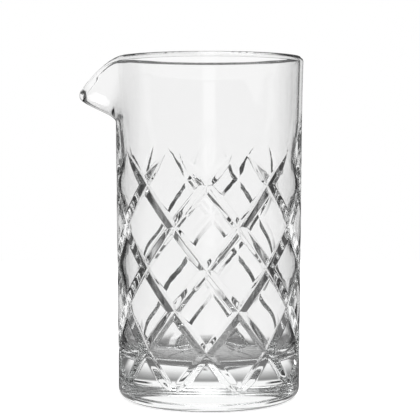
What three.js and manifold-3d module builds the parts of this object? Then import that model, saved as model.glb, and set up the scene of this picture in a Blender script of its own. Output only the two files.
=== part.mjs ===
// Mixing glass for stirred drinks: one piece of clear crystal with a diamond-cut wall, a thick flat
// base and a beak spout. Millimetres, +Z up, axis on Z, underside on z = 0, spout towards -X.
// The glass is continuous. It is modelled as four zones that meet face to face and never overlap:
// heavy_base, diamond_barrel, plain_collar and pouring_spout.

import * as THREE from 'three';
import { mergeVertices } from 'three/addons/utils/BufferGeometryUtils.js';
import Module from 'manifold-3d';

const wasm = await Module();
wasm.setup();

// ---- Driving dimensions ----

const HEIGHT = 158;
const BODY_RADIUS = 43;
const FOOT_TAPER = 0.9;
const RIM_FLARE = 0.7;

const BASE_THICKNESS = 19.5;
const FOOT_RADIUS = 37;
const HEEL_RADIUS = 5;

const WALL_CUT = 4;
const WALL_PLAIN = 2;
const FLOOR_FILLET = 9;
const FLOOR_START = 31;
const COLLAR_BOTTOM = 119;
const THINNING_HEIGHT = 14;

const LIP_ROUND = 1;
const LIP_SLOPE = 1.6;

const CUTS_AROUND = 9;
const ROW_HEIGHT = 18.4;
const CROSSING_HEIGHT = 63.1;
const CUT_TURN = THREE.MathUtils.degToRad(-1.5);
const CUT_DEPTH = 1.8;
const CUT_WIDTH = 6.4;
const CUT_OVERSHOOT = 1.2;
const CUT_CLEAR = 0.35;
const CUT_LOW = 9;
const CUT_HIGH = 116.5;
const CUT_FADE_LOW = 5;
const CUT_FADE_HIGH = 15;
const CUT_STEPS = 16;

const SPOUT_HALF_ANGLE = THREE.MathUtils.degToRad(37.5);
const SPOUT_REACH = 16.4;
const SPOUT_DROP = 16;
const SPOUT_DROP_POWER = 1.5;
const SPOUT_SHARPNESS = 5.4;
const SPOUT_BOTTOM = 127;
const SPOUT_SWELL_START = 0.06;
const SPOUT_SWELL_END = 0.84;
const SPOUT_LEVELS = 14;

const AROUND = 48;
const SPOUT_AROUND = 144;
const ARC_STEPS = 5;
const WELD = 1e-4;

// ---- Profile of the glass, as radius against height ----

function outerRadius(z) {
  const lowShare = 1 - Math.min(z, COLLAR_BOTTOM) / COLLAR_BOTTOM;
  const highShare = Math.max(z - COLLAR_BOTTOM, 0) / (HEIGHT - COLLAR_BOTTOM);
  return BODY_RADIUS - FOOT_TAPER * lowShare + RIM_FLARE * highShare ** 2;
}

function wallThickness(z) {
  const low = COLLAR_BOTTOM - THINNING_HEIGHT;
  const high = COLLAR_BOTTOM + THINNING_HEIGHT;
  const share = THREE.MathUtils.smoothstep(z, low, high);
  return THREE.MathUtils.lerp(WALL_CUT, WALL_PLAIN, share);
}

function innerRadius(z) {
  return outerRadius(z) - wallThickness(z);
}

function outerPoint(z) {
  return new THREE.Vector2(outerRadius(z), z);
}

function innerPoint(z) {
  return new THREE.Vector2(innerRadius(z), z);
}

// A quarter ellipse from one point to another, level where it leaves the first point.
function quarterArc(from, to) {
  const points = [];
  for (let i = 0; i <= ARC_STEPS; i += 1) {
    const angle = (i / ARC_STEPS) * (Math.PI / 2);
    points.push(new THREE.Vector2(
      THREE.MathUtils.lerp(from.x, to.x, Math.sin(angle)),
      THREE.MathUtils.lerp(from.y, to.y, 1 - Math.cos(angle)),
    ));
  }
  return points;
}

// ---- Solids ----

function lathe(profile, around) {
  const geometry = new THREE.LatheGeometry(profile, around);
  geometry.rotateX(Math.PI / 2);
  return geometry;
}

function toSolid(geometry) {
  const bare = geometry.clone();
  bare.deleteAttribute('normal');
  bare.deleteAttribute('uv');
  const welded = mergeVertices(bare, WELD);
  return new wasm.Manifold(new wasm.Mesh({
    numProp: 3,
    vertProperties: new Float32Array(welded.attributes.position.array),
    triVerts: new Uint32Array(welded.index.array),
  }));
}

function toGeometry(solid) {
  const mesh = solid.getMesh();
  const geometry = new THREE.BufferGeometry();
  geometry.setAttribute('position', new THREE.BufferAttribute(mesh.vertProperties, 3));
  geometry.setIndex(new THREE.BufferAttribute(mesh.triVerts, 1));
  geometry.computeVertexNormals();
  return geometry;
}

// ---- Diamond cuts: V grooves wound round the wall both ways ----

function cutDepth(z) {
  const low = THREE.MathUtils.smoothstep(z, CUT_LOW, CUT_LOW + CUT_FADE_LOW);
  const high = 1 - THREE.MathUtils.smoothstep(z, CUT_HIGH - CUT_FADE_HIGH, CUT_HIGH);
  return THREE.MathUtils.lerp(-CUT_CLEAR, CUT_DEPTH, low * high);
}

// Turns a geometry of loose triangles into its mirror image across the plane x = 0.
function mirrored(geometry) {
  geometry.scale(-1, 1, 1);
  const position = geometry.attributes.position;
  const second = new THREE.Vector3();
  const third = new THREE.Vector3();
  for (let i = 0; i < position.count; i += 3) {
    second.fromBufferAttribute(position, i + 1);
    third.fromBufferAttribute(position, i + 2);
    position.setXYZ(i + 1, third.x, third.y, third.z);
    position.setXYZ(i + 2, second.x, second.y, second.z);
  }
  return geometry;
}

// A straight V prism standing on its end, wound round the axis so that it climbs along the wall.
// startAngle is where it crosses the height CROSSING_HEIGHT, counted from -Y towards +X.
function windingCut(startAngle) {
  const halfWidth = (CUT_WIDTH / 2) * (1 + CUT_OVERSHOOT / CUT_DEPTH);
  const section = new THREE.Shape([
    new THREE.Vector2(0, 0),
    new THREE.Vector2(halfWidth, CUT_DEPTH + CUT_OVERSHOOT),
    new THREE.Vector2(-halfWidth, CUT_DEPTH + CUT_OVERSHOOT),
  ]);
  const prism = new THREE.ExtrudeGeometry(section, {
    depth: CUT_HIGH - CUT_LOW,
    steps: CUT_STEPS,
    bevelEnabled: false,
  });
  const position = prism.attributes.position;
  for (let i = 0; i < position.count; i += 1) {
    const z = CUT_LOW + position.getZ(i);
    const turn = ((z - CROSSING_HEIGHT) / ROW_HEIGHT) * (Math.PI / CUTS_AROUND);
    const angle = startAngle + turn - position.getX(i) / BODY_RADIUS;
    const radius = outerRadius(z) - cutDepth(z) + position.getY(i);
    position.setXYZ(i, radius * Math.sin(angle), -radius * Math.cos(angle), z);
  }
  return prism;
}

function allCuts() {
  const cuts = [];
  for (let index = 0; index < CUTS_AROUND; index += 1) {
    const startAngle = CUT_TURN + (index * 2 * Math.PI) / CUTS_AROUND;
    cuts.push(toSolid(windingCut(startAngle)));
    cuts.push(toSolid(mirrored(windingCut(-startAngle))));
  }
  return cuts;
}

function carve(solid, cuts) {
  return cuts.reduce((left, cut) => left.subtract(cut), solid);
}

// ---- Zones of the glass ----

function heavyBase(cuts) {
  const top = BASE_THICKNESS;
  const heel = quarterArc(
    new THREE.Vector2(FOOT_RADIUS, 0),
    outerPoint(HEEL_RADIUS),
  );
  const profile = [
    new THREE.Vector2(0, 0),
    ...heel,
    outerPoint(top),
    new THREE.Vector2(0, top),
  ];
  return carve(toSolid(lathe(profile, AROUND)), cuts);
}

function diamondBarrel(cuts) {
  const low = BASE_THICKNESS;
  const high = COLLAR_BOTTOM;
  const fillet = quarterArc(
    new THREE.Vector2(FLOOR_START, low),
    innerPoint(low + FLOOR_FILLET),
  );
  const profile = [
    ...fillet.reverse(),
    outerPoint(low),
    outerPoint(high),
    innerPoint(high),
    innerPoint(high - THINNING_HEIGHT / 2),
    innerPoint(high - THINNING_HEIGHT),
    innerPoint(low + FLOOR_FILLET),
  ];
  return carve(toSolid(lathe(profile, AROUND)), cuts);
}

// The lip is rounded, and its outer edge stands a little lower than its inner edge.
function lipPoints() {
  const outer = outerRadius(HEIGHT);
  const inner = innerRadius(HEIGHT);
  return [
    new THREE.Vector2(outer, HEIGHT - LIP_SLOPE - LIP_ROUND),
    new THREE.Vector2(outer - LIP_ROUND / 3, HEIGHT - LIP_SLOPE - LIP_ROUND / 3),
    new THREE.Vector2(outer - LIP_ROUND, HEIGHT - LIP_SLOPE / 2),
    new THREE.Vector2(inner + LIP_ROUND / 2, HEIGHT),
    new THREE.Vector2(inner, HEIGHT - LIP_ROUND / 2),
  ];
}

function collarProfile(levels) {
  const low = COLLAR_BOTTOM;
  const high = HEIGHT - LIP_SLOPE - LIP_ROUND;
  const heights = [];
  for (let i = 0; i < levels; i += 1) {
    heights.push(THREE.MathUtils.lerp(low, high, i / levels));
  }
  const outer = heights.map(outerPoint);
  const inner = heights.map(innerPoint).reverse();
  return [...outer, ...lipPoints(), ...inner, outerPoint(low)];
}

// How far round the spout a direction is: 1 along the spout, 0 at and beyond its sides.
function spoutShare(angleFromSpout) {
  const across = Math.min(Math.abs(angleFromSpout) / SPOUT_HALF_ANGLE, 1);
  return Math.exp(-SPOUT_SHARPNESS * across ** 2) * (1 - across ** 4) ** 2;
}

// Draws the collar's wall out and down into the beak.
function drawOutSpout(geometry) {
  const position = geometry.attributes.position;
  for (let i = 0; i < position.count; i += 1) {
    const x = position.getX(i);
    const y = position.getY(i);
    const z = position.getZ(i);
    const share = spoutShare(Math.atan2(y, -x));
    const climb = Math.max(z - SPOUT_BOTTOM, 0) / (HEIGHT - SPOUT_BOTTOM);
    const swell = THREE.MathUtils.smoothstep(climb, SPOUT_SWELL_START, SPOUT_SWELL_END);
    const reach = SPOUT_REACH * share * swell;
    const radius = Math.hypot(x, y);
    const stretch = (radius + reach) / radius;
    const drop = SPOUT_DROP * share ** SPOUT_DROP_POWER * climb;
    position.setXYZ(i, x * stretch, y * stretch, z - drop);
  }
  return geometry;
}

// The sector of space that belongs to the spout.
function spoutSector() {
  const reach = 2 * BODY_RADIUS;
  const corner = reach * Math.tan(SPOUT_HALF_ANGLE);
  const plan = new THREE.Shape([
    new THREE.Vector2(0, 0),
    new THREE.Vector2(-reach, corner),
    new THREE.Vector2(-reach, -corner),
  ]);
  const sector = new THREE.ExtrudeGeometry(plan, { depth: 2 * HEIGHT, bevelEnabled: false });
  return toSolid(sector);
}

function plainCollar() {
  const ring = lathe(collarProfile(3), AROUND);
  return toSolid(ring).subtract(spoutSector());
}

function pouringSpout() {
  const ring = lathe(collarProfile(SPOUT_LEVELS), SPOUT_AROUND);
  return toSolid(drawOutSpout(ring)).intersect(spoutSector());
}

// ---- The glass ----

function clearGlass() {
  return new THREE.MeshStandardMaterial({ color: 0xf2f6f5, roughness: 0.02, metalness: 0 });
}

function zone(name, solid) {
  const mesh = new THREE.Mesh(toGeometry(solid), clearGlass());
  mesh.name = name;
  return mesh;
}

const cuts = allCuts();
const glass = new THREE.Group();
glass.add(zone('heavy_base', heavyBase(cuts)));
glass.add(zone('diamond_barrel', diamondBarrel(cuts)));
glass.add(zone('plain_collar', plainCollar()));
glass.add(zone('pouring_spout', pouringSpout()));

export default glass;
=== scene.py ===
"""Mixing glass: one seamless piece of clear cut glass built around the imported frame."""

import math

import bpy
import numpy as np
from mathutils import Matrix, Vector


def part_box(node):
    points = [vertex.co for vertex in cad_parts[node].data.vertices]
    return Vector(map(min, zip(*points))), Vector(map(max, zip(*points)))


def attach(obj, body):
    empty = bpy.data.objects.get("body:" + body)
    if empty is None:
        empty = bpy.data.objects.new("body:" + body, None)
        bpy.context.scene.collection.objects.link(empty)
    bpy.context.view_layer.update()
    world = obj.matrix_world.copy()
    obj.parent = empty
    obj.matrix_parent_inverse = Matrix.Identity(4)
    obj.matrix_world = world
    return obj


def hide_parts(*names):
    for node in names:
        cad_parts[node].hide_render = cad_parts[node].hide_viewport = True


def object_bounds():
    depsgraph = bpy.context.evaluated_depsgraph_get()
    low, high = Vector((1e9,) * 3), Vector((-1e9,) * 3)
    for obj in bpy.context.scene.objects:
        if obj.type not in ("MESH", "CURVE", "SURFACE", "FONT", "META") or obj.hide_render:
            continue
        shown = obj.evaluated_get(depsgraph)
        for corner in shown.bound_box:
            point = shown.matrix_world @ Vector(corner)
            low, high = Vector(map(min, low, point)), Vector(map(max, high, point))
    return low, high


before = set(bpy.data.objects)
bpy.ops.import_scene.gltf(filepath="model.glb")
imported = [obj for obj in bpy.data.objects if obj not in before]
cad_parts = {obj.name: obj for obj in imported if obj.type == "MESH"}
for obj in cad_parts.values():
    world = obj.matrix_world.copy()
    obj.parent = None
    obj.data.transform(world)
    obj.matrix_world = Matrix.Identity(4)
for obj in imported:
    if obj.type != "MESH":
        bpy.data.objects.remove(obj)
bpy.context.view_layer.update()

# ---- Sizes read from the frame, in metres ----

MM = 0.001
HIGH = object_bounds()[1]
BARREL_LOW, BARREL_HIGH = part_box("diamond_barrel")

HEIGHT = HIGH.z
BODY_RADIUS = BARREL_HIGH.x
RIM_RADIUS = HIGH.y
FLOOR_LEVEL = BARREL_LOW.z
COLLAR_BOTTOM = BARREL_HIGH.z

# ---- The same driving dimensions as the frame's own profile ----

FOOT_TAPER = 0.9 * MM
FOOT_RADIUS = 37 * MM
HEEL_HEIGHT = 5 * MM
WALL_CUT = 4 * MM
WALL_PLAIN = 2 * MM
FLOOR_FILLET = 9 * MM
FLOOR_START = 31 * MM
THINNING_HEIGHT = 14 * MM
LIP_ROUND = 1 * MM
LIP_SLOPE = 1.6 * MM

CUTS_AROUND = 9
ROW_HEIGHT = 18.4 * MM
CROSSING_HEIGHT = 63.1 * MM
CUT_TURN = math.radians(-1.5)
ROWS_EACH_WAY = 3
CUT_DEPTH = 1.8 * MM
CUT_HALF_WIDTH = 2.5 * MM
CUT_LOW = 9 * MM
CUT_HIGH = 116.5 * MM
CUT_FADE_LOW = 5 * MM
CUT_FADE_HIGH = 15 * MM
CUT_SOFTNESS = 0.06

SPOUT_HALF_ANGLE = math.radians(37.5)
SPOUT_REACH = 16.4 * MM
SPOUT_DROP = 16 * MM
SPOUT_DROP_POWER = 1.5
SPOUT_SHARPNESS = 5.4
SPOUT_BOTTOM = 127 * MM
SPOUT_SWELL_START = 0.06
SPOUT_SWELL_END = 0.84

# ---- The unevenness of the inside wall ----
# Each ripple is its waves round the glass, its turn for each row of height, its start and its share.

INNER_WAVE = 0.18 * MM
INNER_RIPPLE = 0.12 * MM
RIPPLES = ((3, 0.09, 0.7, 1.0), (5, -1.3, 0.0, 0.6), (7, 0.9, 2.1, 0.5))

# ---- How finely the mesh is divided ----

CUT_GRID = (0.12, 0.3, 0.55, 0.8, 0.94, 1.06, 1.25)
PLAIN_GRID_STEPS = 10
UNDERSIDE_RINGS = (0.25, 0.5, 0.75, 0.9)
FLOOR_RINGS = (0.85, 0.6, 0.35, 0.15)
HEEL_STEPS = 8
FILLET_STEPS = 10
COLLAR_STEPS = 34
INNER_STEPS = 76
OUTER_LIP_STEPS = 6
INNER_LIP_STEPS = 5


def smoothstep(value, low, high):
    share = np.clip((value - low) / (high - low), 0, 1)
    return share * share * (3 - 2 * share)


def outer_radius(z):
    low_share = 1 - np.minimum(z, COLLAR_BOTTOM) / COLLAR_BOTTOM
    high_share = np.maximum(z - COLLAR_BOTTOM, 0) / (HEIGHT - COLLAR_BOTTOM)
    flare = RIM_RADIUS - BODY_RADIUS
    return BODY_RADIUS - FOOT_TAPER * low_share + flare * high_share ** 2


def inner_radius(z):
    share = smoothstep(z, COLLAR_BOTTOM - THINNING_HEIGHT, COLLAR_BOTTOM + THINNING_HEIGHT)
    return outer_radius(z) - (WALL_CUT + (WALL_PLAIN - WALL_CUT) * share)


# ---- The diamond lattice, in its own two winding coordinates ----
# u and v count the cuts of the two families: each is a whole number along a cut's middle.

CUT_SPACING = (
    2 * math.pi * BODY_RADIUS / CUTS_AROUND
    * math.sin(math.atan2(ROW_HEIGHT, math.pi * BODY_RADIUS / CUTS_AROUND))
)
HALF_WIDTH_SHARE = CUT_HALF_WIDTH / CUT_SPACING


def lattice_steps():
    """Grid lines across one spacing: close together in the cut and at its edges."""
    inside = [step * HALF_WIDTH_SHARE for step in CUT_GRID]
    plain = list(np.linspace(inside[-1], 0.5, PLAIN_GRID_STEPS))[1:-1]
    half = [0.0] + inside + plain
    other = [1 - step for step in reversed(half[1:])]
    return np.array(half + [0.5] + other)


STEPS = lattice_steps()
STEPS_PER_CUT = len(STEPS)
AROUND = CUTS_AROUND * STEPS_PER_CUT


def step_at(index):
    """The lattice coordinate of grid line number index, for whole arrays of numbers."""
    whole = np.floor_divide(index, STEPS_PER_CUT)
    return STEPS[np.mod(index, STEPS_PER_CUT)] + whole


def lattice_angle(u, v):
    return CUT_TURN + math.pi * (u + v) / CUTS_AROUND


def lattice_height(u, v):
    return CROSSING_HEIGHT + ROW_HEIGHT * (v - u)


def across_cut(coordinate):
    """Distance from the nearest cut's middle, as a share of the cut's half width."""
    return np.abs(coordinate - np.round(coordinate)) / HALF_WIDTH_SHARE


def cut_profile(share):
    """Near 1 at the bottom of the V and near 0 outside it, with the bottom and edges rounded."""
    rounded = np.sqrt(share * share + CUT_SOFTNESS ** 2)
    height = 1 - rounded
    return (height + np.sqrt(height * height + (CUT_SOFTNESS / 2) ** 2)) / 2


def cut_depth(u, v):
    z = lattice_height(u, v)
    fade_low = smoothstep(z, CUT_LOW, CUT_LOW + CUT_FADE_LOW)
    fade_high = 1 - smoothstep(z, CUT_HIGH - CUT_FADE_HIGH, CUT_HIGH)
    lift = CUT_DEPTH * (1 - fade_low * fade_high)
    one = CUT_DEPTH * cut_profile(across_cut(u)) - lift
    other = CUT_DEPTH * cut_profile(across_cut(v)) - lift
    return np.maximum(np.maximum(one, other), 0)


# ---- Mesh of the glass: rings of points from the underside's middle round to the floor's ----


class Shell:
    """Collects points and faces of one closed surface."""

    def __init__(self):
        self.points = []
        self.faces = []
        self.count = 0

    def add(self, points):
        first = self.count
        self.points.append(points)
        self.count += len(points)
        return first

    def bridge(self, low, high):
        """Faces between two rings, given as arrays of point numbers in step with each other."""
        for i in range(AROUND):
            j = (i + 1) % AROUND
            self.faces.append((low[i], low[j], high[j], high[i]))

    def bridge_all(self, rings):
        for low, high in zip(rings, rings[1:]):
            self.bridge(low, high)

    def fan(self, ring, centre, upward):
        for i in range(AROUND):
            j = (i + 1) % AROUND
            self.faces.append((ring[i], ring[j], centre) if upward else (ring[j], ring[i], centre))


RING_TURNS = step_at(np.arange(AROUND)) + 0.5
RING_ANGLES = CUT_TURN + 2 * math.pi * RING_TURNS / CUTS_AROUND


def spout_share(angle_from_spout):
    across = np.minimum(np.abs(angle_from_spout) / SPOUT_HALF_ANGLE, 1)
    return np.exp(-SPOUT_SHARPNESS * across ** 2) * (1 - across ** 4) ** 2


def draw_out_spout(points):
    """Draws the wall out and down into the beak, as the frame's collar is drawn."""
    x, y, z = points.T
    share = spout_share(np.arctan2(y, -x))
    climb = np.maximum(z - SPOUT_BOTTOM, 0) / (HEIGHT - SPOUT_BOTTOM)
    reach = SPOUT_REACH * share * smoothstep(climb, SPOUT_SWELL_START, SPOUT_SWELL_END)
    radius = np.hypot(x, y)
    stretch = (radius + reach) / np.maximum(radius, MM)
    drop = SPOUT_DROP * share ** SPOUT_DROP_POWER * climb
    return np.stack([x * stretch, y * stretch, z - drop], axis=1)


def ring_points(radius, z):
    radius = np.broadcast_to(radius, RING_ANGLES.shape)
    return np.stack([
        radius * np.sin(RING_ANGLES),
        -radius * np.cos(RING_ANGLES),
        np.full(AROUND, z),
    ], axis=1)


def add_ring(shell, radius, z):
    first = shell.add(draw_out_spout(ring_points(radius, z)))
    return np.arange(first, first + AROUND)


def quarter(count):
    """Shares across and up a quarter ellipse that starts level."""
    angles = np.linspace(0, math.pi / 2, count + 1)
    return np.sin(angles), 1 - np.cos(angles)


def add_underside(shell):
    """The flat underside and the rounded heel, from the middle outwards."""
    middle = shell.add(np.array([[0.0, 0.0, 0.0]]))
    rings = [add_ring(shell, FOOT_RADIUS * share, 0.0) for share in UNDERSIDE_RINGS]
    heel_top = outer_radius(HEEL_HEIGHT)
    for across, up in zip(*quarter(HEEL_STEPS)):
        radius = FOOT_RADIUS + (heel_top - FOOT_RADIUS) * across
        rings.append(add_ring(shell, radius, HEEL_HEIGHT * up))
    shell.fan(rings[0], middle, upward=False)
    return rings


def add_cut_wall(shell):
    """The lattice of diamonds. Returns its lowest and highest rings."""
    half_rows = ROWS_EACH_WAY * STEPS_PER_CUT
    span = 2 * half_rows + 1
    i = np.repeat(np.arange(AROUND), span)
    offset = np.tile(np.arange(-half_rows, half_rows + 1), AROUND)
    u = step_at(i)
    v = step_at(i + offset)
    angle = lattice_angle(u, v)
    z = lattice_height(u, v)
    radius = outer_radius(z) - cut_depth(u, v)
    first = shell.add(np.stack([radius * np.sin(angle), -radius * np.cos(angle), z], axis=1))

    def point(i, offset):
        return first + (i % AROUND) * span + offset + half_rows

    for i in range(AROUND):
        for offset in range(-half_rows, half_rows + 1):
            here = point(i, offset)
            ahead = point(i + 1, offset)
            if offset > -half_rows:
                right = point(i + 1, offset - 1)
                shell.faces.append((here, right, ahead))
            if offset < half_rows:
                left = point(i, offset + 1)
                shell.faces.append((here, ahead, left))

    # The wall's lowest points trail their own column by half the rows and its highest lead it,
    # so the columns are shifted to stand in step with RING_TURNS.
    index = np.arange(AROUND)
    low_shift = (ROWS_EACH_WAY + 1) // 2 * STEPS_PER_CUT
    high_shift = (ROWS_EACH_WAY - 1) // 2 * STEPS_PER_CUT
    low = np.array([point(k, -half_rows) for k in (index + low_shift) % AROUND])
    high = np.array([point(k, half_rows) for k in (index - high_shift) % AROUND])
    return low, high


def add_collar(shell):
    """Rings up the outside of the plain collar, above the cut wall."""
    low = CROSSING_HEIGHT + ROWS_EACH_WAY * ROW_HEIGHT
    high = HEIGHT - LIP_SLOPE - LIP_ROUND
    return [add_ring(shell, outer_radius(z), z) for z in np.linspace(low, high, COLLAR_STEPS)[1:]]


def add_lip(shell):
    """Rings round the lip, from its outer edge over the top to its inner edge."""
    outer = outer_radius(HEIGHT)
    inner = inner_radius(HEIGHT)
    rings = []
    for angle in np.linspace(0, math.pi / 2, OUTER_LIP_STEPS)[1:]:
        radius = outer - LIP_ROUND * (1 - math.cos(angle))
        z = HEIGHT - LIP_SLOPE - LIP_ROUND + (LIP_ROUND + LIP_SLOPE / 2) * math.sin(angle)
        rings.append(add_ring(shell, radius, z))
    rings.append(add_ring(shell, inner + LIP_ROUND / 2, HEIGHT))
    for angle in np.linspace(0, math.pi / 2, INNER_LIP_STEPS)[1:]:
        radius = inner + LIP_ROUND / 2 * (1 - math.sin(angle))
        z = HEIGHT - LIP_ROUND * (1 - math.cos(angle))
        rings.append(add_ring(shell, radius, z))
    return rings


def inner_wave(z):
    """The small swell of the inside wall: it answers the cuts outside, with a slow ripple."""
    rows = (z - CROSSING_HEIGHT) / ROW_HEIGHT
    u = RING_TURNS - rows / 2
    v = RING_TURNS + rows / 2
    swell = (np.cos(2 * math.pi * u) + np.cos(2 * math.pi * v)) / 2
    ripple = sum(
        share * np.sin(waves * RING_ANGLES + climb * rows + start)
        for waves, climb, start, share in RIPPLES
    )
    fade_low = smoothstep(z, FLOOR_LEVEL, FLOOR_LEVEL + 2 * FLOOR_FILLET)
    fade_high = 1 - smoothstep(
        z, COLLAR_BOTTOM - 2 * THINNING_HEIGHT, COLLAR_BOTTOM + THINNING_HEIGHT)
    return fade_low * fade_high * (INNER_WAVE * swell + INNER_RIPPLE * ripple)


def add_inside(shell):
    """The inside wall from the lip down, the fillet and the floor."""
    rings = []
    for z in np.linspace(HEIGHT - LIP_ROUND, FLOOR_LEVEL + FLOOR_FILLET, INNER_STEPS)[1:-1]:
        rings.append(add_ring(shell, inner_radius(z) + inner_wave(z), z))
    fillet_top = inner_radius(FLOOR_LEVEL + FLOOR_FILLET)
    across, up = quarter(FILLET_STEPS)
    for out, rise in zip(reversed(across), reversed(up)):
        radius = FLOOR_START + (fillet_top - FLOOR_START) * out
        rings.append(add_ring(shell, radius, FLOOR_LEVEL + FLOOR_FILLET * rise))
    rings += [add_ring(shell, FLOOR_START * share, FLOOR_LEVEL) for share in FLOOR_RINGS]
    middle = shell.add(np.array([[0.0, 0.0, FLOOR_LEVEL]]))
    shell.fan(rings[-1], middle, upward=True)
    return rings


def build_glass():
    shell = Shell()
    underside = add_underside(shell)
    wall_low, wall_high = add_cut_wall(shell)
    shell.bridge_all(underside + [wall_low])
    shell.bridge_all([wall_high] + add_collar(shell) + add_lip(shell) + add_inside(shell))
    return shell


def glass_object(material):
    shell = build_glass()
    mesh = bpy.data.meshes.new("cut_glass")
    mesh.from_pydata(np.concatenate(shell.points).tolist(), [], shell.faces)
    mesh.validate()
    mesh.materials.append(material)
    mesh.polygons.foreach_set("use_smooth", np.ones(len(mesh.polygons), bool))
    mesh.update()
    glass = bpy.data.objects.new("cut_glass", mesh)
    bpy.context.scene.collection.objects.link(glass)
    weighted = glass.modifiers.new("facet_normals", "WEIGHTED_NORMAL")
    weighted.weight = 50
    return glass


# ---- Materials ----

WHITE = (1, 1, 1, 1)
GLASS_IOR = 1.52
POLISH_SCALE = 60
POLISH_DETAIL = 4
POLISH_LOW = 0.55
POLISH_HIGH = 0.75
ROUGHEST = 0.025
TINT = (0.86, 0.94, 0.92, 1)
TINT_DENSITY = 1.2


def node_tree(owner):
    owner.use_nodes = True
    tree = owner.node_tree
    tree.nodes.clear()
    return tree


def clear_glass():
    """Clear glass with a faint tint in its thickness and small patches of duller polish."""
    material = bpy.data.materials.new("clear_glass")
    tree = node_tree(material)
    nodes, links = tree.nodes, tree.links
    output = nodes.new("ShaderNodeOutputMaterial")
    shader = nodes.new("ShaderNodeBsdfPrincipled")
    shader.inputs["Base Color"].default_value = WHITE
    shader.inputs["Transmission Weight"].default_value = 1
    shader.inputs["IOR"].default_value = GLASS_IOR
    links.new(shader.outputs["BSDF"], output.inputs["Surface"])

    place = nodes.new("ShaderNodeTexCoord")
    polish = nodes.new("ShaderNodeTexNoise")
    polish.inputs["Scale"].default_value = POLISH_SCALE
    polish.inputs["Detail"].default_value = POLISH_DETAIL
    links.new(place.outputs["Object"], polish.inputs["Vector"])
    roughness = nodes.new("ShaderNodeMapRange")
    roughness.inputs["From Min"].default_value = POLISH_LOW
    roughness.inputs["From Max"].default_value = POLISH_HIGH
    roughness.inputs["To Min"].default_value = 0.0
    roughness.inputs["To Max"].default_value = ROUGHEST
    links.new(polish.outputs["Fac"], roughness.inputs["Value"])
    links.new(roughness.outputs["Result"], shader.inputs["Roughness"])

    absorb = nodes.new("ShaderNodeVolumeAbsorption")
    absorb.inputs["Color"].default_value = TINT
    absorb.inputs["Density"].default_value = TINT_DENSITY
    links.new(absorb.outputs["Volume"], output.inputs["Volume"])
    return material


# ---- Studio ----
# The camera sees white all round. What comes through the glass sees a white panel straight behind
# it, dimmer strips at its sides and front, a ceiling, and dark cards between them. On the table
# these are painted, with a painted shadow close to the glass.

TABLE_RADIUS = 700 * MM
TABLE_SIDES = 96
TABLE_DROP = 0.1 * MM
TABLE_COLOUR = (0.8, 0.8, 0.8, 1)
TABLE_GLOW = 0.7

CEILING_LOW = math.radians(50)
CEILING_HIGH = math.radians(65)
CEILING_LIGHT = 0.3
HIGH_PANEL_LOW = math.radians(6)
HIGH_PANEL_HIGH = math.radians(11)
STRIP_LOW = math.radians(-14)
STRIP_HIGH = math.radians(7)
STRIP_EDGE = math.radians(2)

# A painted shadow on the table round the glass, seen only through it: full out to this radius and
# gone by the next.
PAINTED_SHADOW_RADIUS = 60 * MM
PAINTED_SHADOW_END = 110 * MM
# Painted strip light on the table from this radius out, seen only through the glass.
PAINTED_STRIP_START = 300 * MM
PAINTED_STRIP_EDGE = 40 * MM
# Brightness of that painted shadow.
PAINTED_CONTACT_SHADOW = 0.15

# Brightness against degrees from straight behind the glass, the same to its left and right.
BACK_PANEL = ((0, 1), (26, 1), (31, 0.01), (180, 0.01))
HIGH_PANEL = ((0, 1), (42, 1), (47, 0.01), (180, 0.01))
SIDE_STRIPS = ((0, 0), (82, 0), (85, 0.4), (93, 0.4), (96, 0), (170, 0), (174, 0.6), (180, 0.6))
# Painted light and shade on the table seen through the glass: a painted panel light behind it and
# dark cards painted beside.
PAINTED_TABLE_PANEL_AND_CARDS = ((0, 1), (28, 1), (33, 0.15), (48, 0.15), (52, 0.02), (180, 0.02))
# The ramp of light that reflections see from the world; the table shows it as painted light and
# shade.
REFLECTED = ((0, 0.12), (60, 0.12), (110, 0.9), (180, 0.9))


def math_node(tree, operation, first, second=None):
    node = tree.nodes.new("ShaderNodeMath")
    node.operation = operation
    for socket, value in zip(node.inputs, (first, second)):
        if isinstance(value, (int, float)):
            socket.default_value = value
        elif value is not None:
            tree.links.new(value, socket)
    return node.outputs["Value"]


def soft_step(tree, value, low, high, start=0.0, end=1.0):
    node = tree.nodes.new("ShaderNodeMapRange")
    node.interpolation_type = "SMOOTHSTEP"
    node.inputs["From Min"].default_value = low
    node.inputs["From Max"].default_value = high
    node.inputs["To Min"].default_value = start
    node.inputs["To Max"].default_value = end
    tree.links.new(value, node.inputs["Value"])
    return node.outputs["Result"]


def mix_shader(tree, share, first, second):
    node = tree.nodes.new("ShaderNodeMixShader")
    for socket, value in zip(node.inputs, (share, first, second)):
        tree.links.new(value, socket)
    return node.outputs["Shader"]


def background(tree, strength):
    """A white background shader. The strength is a number or another node's output."""
    node = tree.nodes.new("ShaderNodeBackground")
    node.inputs["Color"].default_value = WHITE
    set_strength(tree, node, strength)
    return node.outputs["Background"]


def emission(tree, strength):
    """A white emission shader. The strength is a number or another node's output."""
    node = tree.nodes.new("ShaderNodeEmission")
    set_strength(tree, node, strength)
    return node.outputs["Emission"]


def set_strength(tree, node, strength):
    if isinstance(strength, (int, float)):
        node.inputs["Strength"].default_value = strength
    else:
        tree.links.new(strength, node.inputs["Strength"])


def brightness_round(tree, x, y, stops):
    """Looks the brightness up by the angle of (x, y) from the +Y direction."""
    turn = math_node(tree, "ARCTAN2", x, y)
    share = math_node(tree, "DIVIDE", math_node(tree, "ABSOLUTE", turn), math.pi)
    ramp = tree.nodes.new("ShaderNodeValToRGB")
    elements = ramp.color_ramp.elements
    for degrees, light in stops[1:-1]:
        elements.new(degrees / 180).color = (light, light, light, 1)
    elements[0].color = (stops[0][1],) * 3 + (1,)
    elements[-1].color = (stops[-1][1],) * 3 + (1,)
    tree.links.new(share, ramp.inputs["Fac"])
    return ramp.outputs["Color"]


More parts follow.
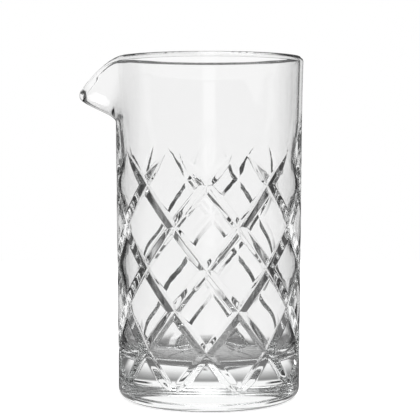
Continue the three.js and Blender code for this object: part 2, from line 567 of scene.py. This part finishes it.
def split_direction(tree, socket):
    split = tree.nodes.new("ShaderNodeSeparateXYZ")
    tree.links.new(socket, split.inputs["Vector"])
    return split.outputs["X"], split.outputs["Y"], split.outputs["Z"]


def panels_round(tree, x, y, climb):
    """Brightness of the panels and cards by direction, where climb is the angle above level."""
    strip = math_node(
        tree, "MULTIPLY",
        soft_step(tree, climb, STRIP_LOW - STRIP_EDGE, STRIP_LOW),
        soft_step(tree, climb, STRIP_HIGH, STRIP_HIGH + STRIP_EDGE, 1, 0))
    strips = math_node(tree, "MULTIPLY", brightness_round(tree, x, y, SIDE_STRIPS), strip)
    high_panel = math_node(
        tree, "MULTIPLY",
        brightness_round(tree, x, y, HIGH_PANEL),
        soft_step(tree, climb, HIGH_PANEL_LOW, HIGH_PANEL_HIGH))
    panel = math_node(tree, "MAXIMUM", brightness_round(tree, x, y, BACK_PANEL), high_panel)
    return math_node(tree, "MAXIMUM", panel, strips)


def studio_world():
    """White to the camera, a plain ramp to reflections, panels and cards to other rays."""
    world = bpy.data.worlds.new("studio")
    bpy.context.scene.world = world
    tree = node_tree(world)
    nodes, links = tree.nodes, tree.links

    place = nodes.new("ShaderNodeTexCoord")
    x, y, z = split_direction(tree, place.outputs["Generated"])
    climb = math_node(tree, "ARCSINE", z)
    around = background(tree, panels_round(tree, x, y, climb))
    ceiling = background(tree, CEILING_LIGHT)
    room = mix_shader(tree, soft_step(tree, climb, CEILING_LOW, CEILING_HIGH), around, ceiling)

    reflected = background(tree, brightness_round(tree, x, y, REFLECTED))
    backdrop = background(tree, 1)
    light_path = nodes.new("ShaderNodeLightPath")
    unseen = mix_shader(tree, light_path.outputs["Is Reflection Ray"], room, reflected)
    everything = mix_shader(tree, light_path.outputs["Is Camera Ray"], unseen, backdrop)
    output = nodes.new("ShaderNodeOutputWorld")
    links.new(everything, output.inputs["Surface"])


def table_painted_through_glass(tree, x, y):
    """Painted light and shade on the table, seen through the glass: a painted shadow close by,
    painted panel light and dark cards farther out, painted strip light far out.
    """
    square = math_node(
        tree, "ADD", math_node(tree, "MULTIPLY", x, x), math_node(tree, "MULTIPLY", y, y))
    radius = math_node(tree, "SQRT", square)
    painted_strip_light = math_node(
        tree, "MULTIPLY",
        brightness_round(tree, x, y, SIDE_STRIPS),
        soft_step(tree, radius, PAINTED_STRIP_START, PAINTED_STRIP_START + PAINTED_STRIP_EDGE))
    light = math_node(tree, "MAXIMUM", brightness_round(tree, x, y, PAINTED_TABLE_PANEL_AND_CARDS), painted_strip_light)
    past_painted_shadow = soft_step(tree, radius, PAINTED_SHADOW_RADIUS, PAINTED_SHADOW_END)
    return mix_shader(tree, past_painted_shadow, emission(tree, PAINTED_CONTACT_SHADOW), emission(tree, light))


def table_material():
    """Pale table: white to the camera with the glass's faint shadow, and darker to the glass:
    painted light and shade to rays through it and to reflections.
    """
    material = bpy.data.materials.new("pale_table")
    tree = node_tree(material)
    nodes, links = tree.nodes, tree.links

    diffuse = nodes.new("ShaderNodeBsdfDiffuse")
    diffuse.inputs["Color"].default_value = TABLE_COLOUR
    lit = diffuse.outputs["BSDF"]
    both = nodes.new("ShaderNodeAddShader")
    links.new(lit, both.inputs[0])
    links.new(emission(tree, TABLE_GLOW), both.inputs[1])

    place = nodes.new("ShaderNodeTexCoord")
    x, y, _ = split_direction(tree, place.outputs["Object"])
    painted_through_glass = table_painted_through_glass(tree, x, y)
    # The table shows reflections a painted ramp of light: dark behind the glass, bright in front.
    reflected = emission(tree, brightness_round(tree, x, y, REFLECTED))
    light_path = nodes.new("ShaderNodeLightPath")
    one = mix_shader(tree, light_path.outputs["Is Transmission Ray"], lit, painted_through_glass)
    two = mix_shader(tree, light_path.outputs["Is Reflection Ray"], one, reflected)
    three = mix_shader(tree, light_path.outputs["Is Camera Ray"], two, both.outputs["Shader"])
    output = nodes.new("ShaderNodeOutputMaterial")
    links.new(three, output.inputs["Surface"])
    return material


def studio_table():
    mesh = bpy.data.meshes.new("studio_table")
    turns = [2 * math.pi * i / TABLE_SIDES for i in range(TABLE_SIDES)]
    rim = [(TABLE_RADIUS * math.cos(turn), TABLE_RADIUS * math.sin(turn), 0) for turn in turns]
    mesh.from_pydata(rim, [], [tuple(range(TABLE_SIDES))])
    mesh.materials.append(table_material())
    table = bpy.data.objects.new("studio_table", mesh)
    table.location.z = -TABLE_DROP
    bpy.context.scene.collection.objects.link(table)


# ---- The one lamp, in metres and watts ----

LAMP_PLACE = (0.3, -0.2, 1.2)
LAMP_SIZE = 1.0
LAMP_POWER = 8


def studio_lamp():
    data = bpy.data.lights.new("soft_box_above", "AREA")
    data.shape = "SQUARE"
    data.size = LAMP_SIZE
    data.energy = LAMP_POWER
    lamp = bpy.data.objects.new("soft_box_above", data)
    lamp.location = LAMP_PLACE
    aim = Vector((0, 0, HEIGHT / 2)) - Vector(LAMP_PLACE)
    lamp.rotation_euler = aim.to_track_quat("-Z", "Y").to_euler()
    bpy.context.scene.collection.objects.link(lamp)


# ---- Camera ----

CAMERA_DISTANCE = 600 * MM
CAMERA_HEIGHT = 119.5 * MM
CAMERA_ACROSS = 0.5 * MM
CAMERA_PITCH = math.radians(3.08)
CAMERA_NEAR = 10 * MM
CAMERA_LENS = 110.6
SENSOR_WIDTH = 36


def studio_camera():
    data = bpy.data.cameras.new("camera")
    data.lens = CAMERA_LENS
    data.sensor_width = SENSOR_WIDTH
    data.clip_start = CAMERA_NEAR
    camera = bpy.data.objects.new("camera", data)
    camera.location = (CAMERA_ACROSS, -CAMERA_DISTANCE, CAMERA_HEIGHT)
    camera.rotation_euler = (math.pi / 2 - CAMERA_PITCH, 0, 0)
    bpy.context.scene.collection.objects.link(camera)
    bpy.context.scene.camera = camera


# ---- Scene ----

LIGHT_BOUNCES = 24

studio_camera()
glass = glass_object(clear_glass())
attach(glass, "root")
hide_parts("heavy_base", "diamond_barrel", "plain_collar", "pouring_spout")

studio_world()
studio_table()
studio_lamp()

scene = bpy.context.scene
scene.view_settings.view_transform = "Standard"
scene.cycles.max_bounces = LIGHT_BOUNCES
scene.cycles.transmission_bounces = LIGHT_BOUNCES
scene.cycles.glossy_bounces = LIGHT_BOUNCES
